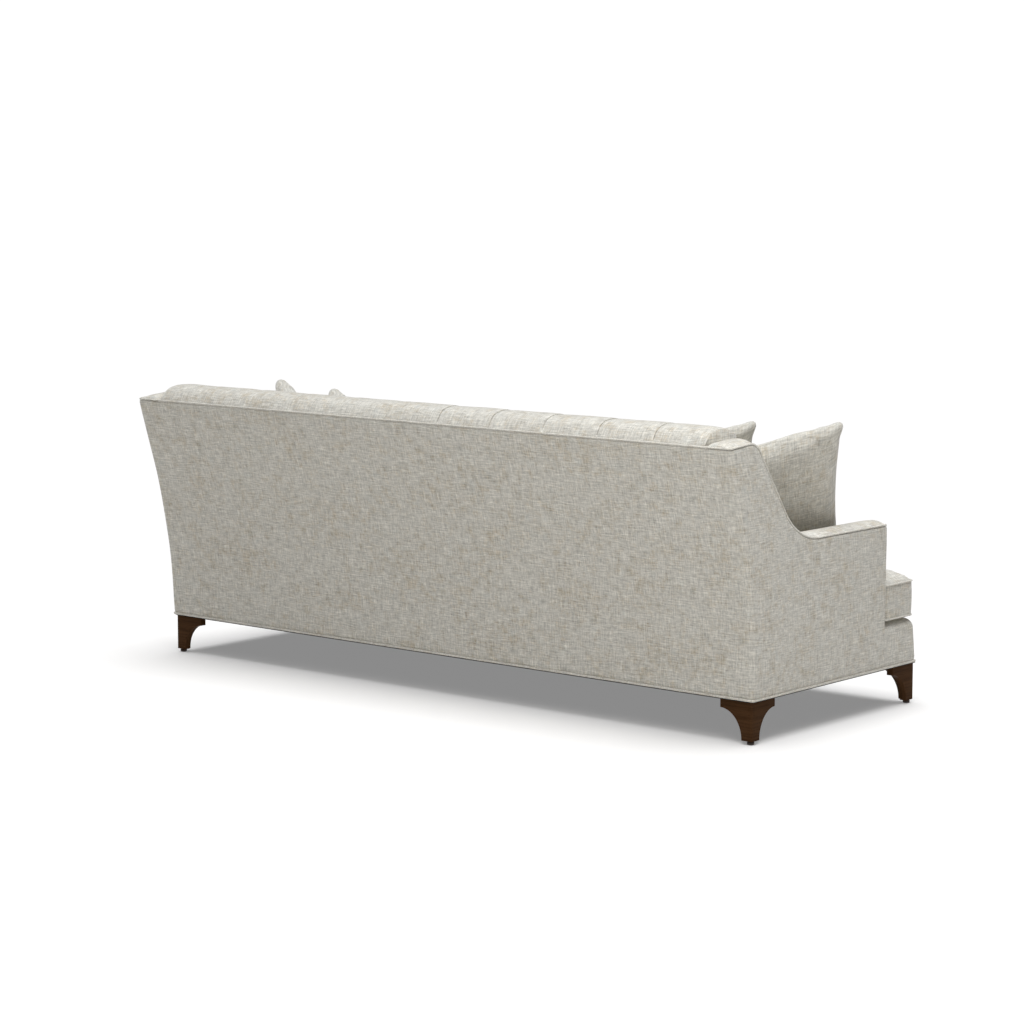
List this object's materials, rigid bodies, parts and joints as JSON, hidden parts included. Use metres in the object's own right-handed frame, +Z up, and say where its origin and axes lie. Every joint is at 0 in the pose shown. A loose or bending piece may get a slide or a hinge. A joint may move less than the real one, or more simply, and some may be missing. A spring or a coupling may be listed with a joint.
{
  "type": "sofa",
  "caption": "Long straight-backed upholstered sofa with scooped wings, low arms, loose T-shaped seat cushions, throw pillows and walnut bracket feet.",
  "frame": {"origin": "on the floor, under the middle of the sofa's footprint box", "axes": "+Z up, +X along the seat to the sitter's left, as a viewer in front sees the right; the seat faces -Y"},
  "size_m": [2.466, 1.013, 0.9334],
  "materials": {
    "upholstery": "heathered linen-look tweed in light grey beige",
    "deck_cloth": "plain woven deck cloth",
    "welt": "bias-cut cord welt in the same cloth",
    "cushion": "heathered linen-look tweed in light grey beige",
    "pillow": "heathered linen-look tweed in light grey beige",
    "walnut": "dark walnut stain, satin lacquer",
    "frame_wood": "sawn hardwood, unfinished",
    "spring_steel": "bright drawn wire",
    "dust_cloth": "black spun-bonded cloth",
    "glide": "brown nylon, matt"
  },
  "bodies": {
    "sofa_body": {"outside_back": "upholstery", "outside_arm_left": "upholstery", "outside_arm_right": "upholstery", "inside_arm_left": "upholstery", "inside_arm_right": "upholstery", "arm_front_left": "upholstery", "arm_front_right": "upholstery", "inside_back": "upholstery", "front_border": "upholstery", "deck_pad": "deck_cloth", "bottom_welt": "welt", "back_welt": "welt", "arm_welt_left": "welt", "arm_welt_right": "welt", "rear_leg_left": "walnut", "rear_leg_right": "walnut", "front_leg_left": "walnut", "front_leg_right": "walnut", "front_rail": "frame_wood", "back_bottom_rail": "frame_wood", "side_rail_left": "frame_wood", "side_rail_right": "frame_wood", "back_post_left": "frame_wood", "back_post_right": "frame_wood", "back_top_rail": "frame_wood", "back_upright_left": "frame_wood", "back_upright_right": "frame_wood", "cross_stretcher_left": "frame_wood", "cross_stretcher_right": "frame_wood", "arm_stump_left": "frame_wood", "arm_stump_right": "frame_wood", "arm_rail_left": "frame_wood", "arm_rail_right": "frame_wood", "wing_board_left": "frame_wood", "wing_board_right": "frame_wood", "front_corner_block_left": "frame_wood", "front_corner_block_right": "frame_wood", "rear_corner_block_left": "frame_wood", "rear_corner_block_right": "frame_wood", "seat_spring_1": "spring_steel", "seat_spring_2": "spring_steel", "seat_spring_3": "spring_steel", "seat_spring_4": "spring_steel", "seat_spring_5": "spring_steel", "seat_spring_6": "spring_steel", "seat_spring_7": "spring_steel", "seat_spring_8": "spring_steel", "seat_spring_9": "spring_steel", "dust_cover": "dust_cloth", "rear_glide_left": "glide", "rear_glide_right": "glide", "front_glide_left": "glide", "front_glide_right": "glide"},
    "middle_seat_cushion": {"seat_cushion_middle": "cushion"},
    "left_seat_cushion": {"seat_cushion_left": "cushion"},
    "right_seat_cushion": {"seat_cushion_right": "cushion"},
    "left_outer_pillow": {"outer_pillow_left": "pillow"},
    "right_outer_pillow": {"outer_pillow_right": "pillow"},
    "left_inner_pillow": {"inner_pillow_left": "pillow"},
    "right_inner_pillow": {"inner_pillow_right": "pillow"}
  },
  "joints": [
    {"name": "middle_seat_cushion_lift", "type": "slide", "parent": "sofa_body", "child": "middle_seat_cushion", "axis": [0, 0, 1], "range_m": [0, 0.68]},
    {"name": "left_seat_cushion_lift", "type": "slide", "parent": "sofa_body", "child": "left_seat_cushion", "axis": [0, 0, 1], "range_m": [0, 0.68]},
    {"name": "left_outer_pillow_lift", "type": "slide", "parent": "left_seat_cushion", "child": "left_outer_pillow", "axis": [0, 0, 1], "range_m": [0, 0.52]},
    {"name": "left_inner_pillow_lift", "type": "slide", "parent": "left_outer_pillow", "child": "left_inner_pillow", "axis": [0, 0, 1], "range_m": [0, 0.52]},
    {"name": "right_seat_cushion_lift", "type": "slide", "parent": "sofa_body", "child": "right_seat_cushion", "axis": [0, 0, 1], "range_m": [0, 0.68]},
    {"name": "right_outer_pillow_lift", "type": "slide", "parent": "right_seat_cushion", "child": "right_outer_pillow", "axis": [0, 0, 1], "range_m": [0, 0.52]},
    {"name": "right_inner_pillow_lift", "type": "slide", "parent": "right_outer_pillow", "child": "right_inner_pillow", "axis": [0, 0, 1], "range_m": [0, 0.52]}
  ]
}
